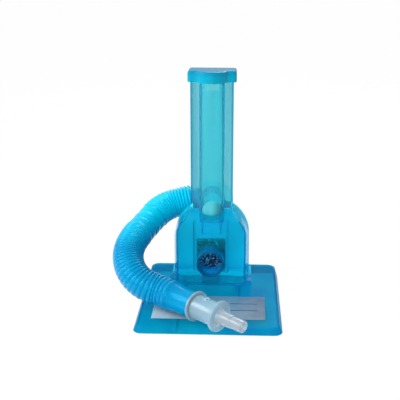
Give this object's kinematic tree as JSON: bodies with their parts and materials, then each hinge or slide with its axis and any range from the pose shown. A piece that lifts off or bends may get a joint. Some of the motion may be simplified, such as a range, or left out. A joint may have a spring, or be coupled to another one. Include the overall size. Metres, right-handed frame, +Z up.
{
  "type": "incentive spirometer",
  "caption": "Breathing exerciser with a float ball in a clear upright column, a filtered inlet housing on a wide base, and a breathing hose with a mouthpiece.",
  "frame": {"origin": "middle of the base's underside, on the surface it stands on", "axes": "+Z up along the column, -Y towards the front where the inlet port opens, +X to the front's right"},
  "size_m": [0.1384, 0.1489, 0.1905],
  "materials": {
    "base_plastic": "glossy",
    "housing_plastic": "glossy, slightly see-through",
    "port_plastic": "glossy",
    "inner_plastic": "glossy, slightly see-through",
    "channel_plastic": "clear, tinted",
    "column_plastic": "clear, tinted",
    "cap_plastic": "satin",
    "outlet_plastic": "glossy",
    "hose_plastic": "satin",
    "mouthpiece_plastic": "frosted",
    "filter_foam": "open-cell foam",
    "ball_plastic": "satin",
    "label_card": "matt card"
  },
  "bodies": {
    "root": {"base_plate": "base_plastic", "label_card": "label_card", "housing_front": "housing_plastic", "housing_rear": "housing_plastic", "inlet_port": "port_plastic", "foam_filter": "filter_foam", "filter_retainer": "inner_plastic", "partition_plate": "inner_plastic", "inlet_duct": "inner_plastic", "ball_seat": "inner_plastic", "ball_stop": "inner_plastic", "ball_channel": "channel_plastic", "return_duct": "column_plastic", "top_cap": "cap_plastic", "outlet_flange": "outlet_plastic"},
    "ball": {"ball": "ball_plastic"},
    "hose_assembly": {"outlet_elbow": "outlet_plastic", "hose_rear_cuff": "hose_plastic", "hose_upper": "hose_plastic", "hose_middle_cuff": "hose_plastic", "hose_lower": "hose_plastic", "hose_front_cuff": "hose_plastic"},
    "mouthpiece": {"mouthpiece_adapter": "mouthpiece_plastic", "mouthpiece_nozzle": "mouthpiece_plastic"}
  },
  "joints": [
    {"name": "ball_float", "type": "slide", "parent": "root", "child": "ball", "axis": [0, 0, 1], "range_m": [0, 0.1]},
    {"name": "outlet_swivel", "type": "hinge", "parent": "root", "child": "hose_assembly", "pos_m": [0, 0.0427, 0.0775], "axis": [0, 1, 0], "range_deg": [0, 60]},
    {"name": "mouthpiece_twist", "type": "hinge", "parent": "hose_assembly", "child": "mouthpiece", "pos_m": [-0.009, -0.0508, 0.0183], "axis": [0.7656, -0.6424, -0.0349], "continuous": true}
  ]
}
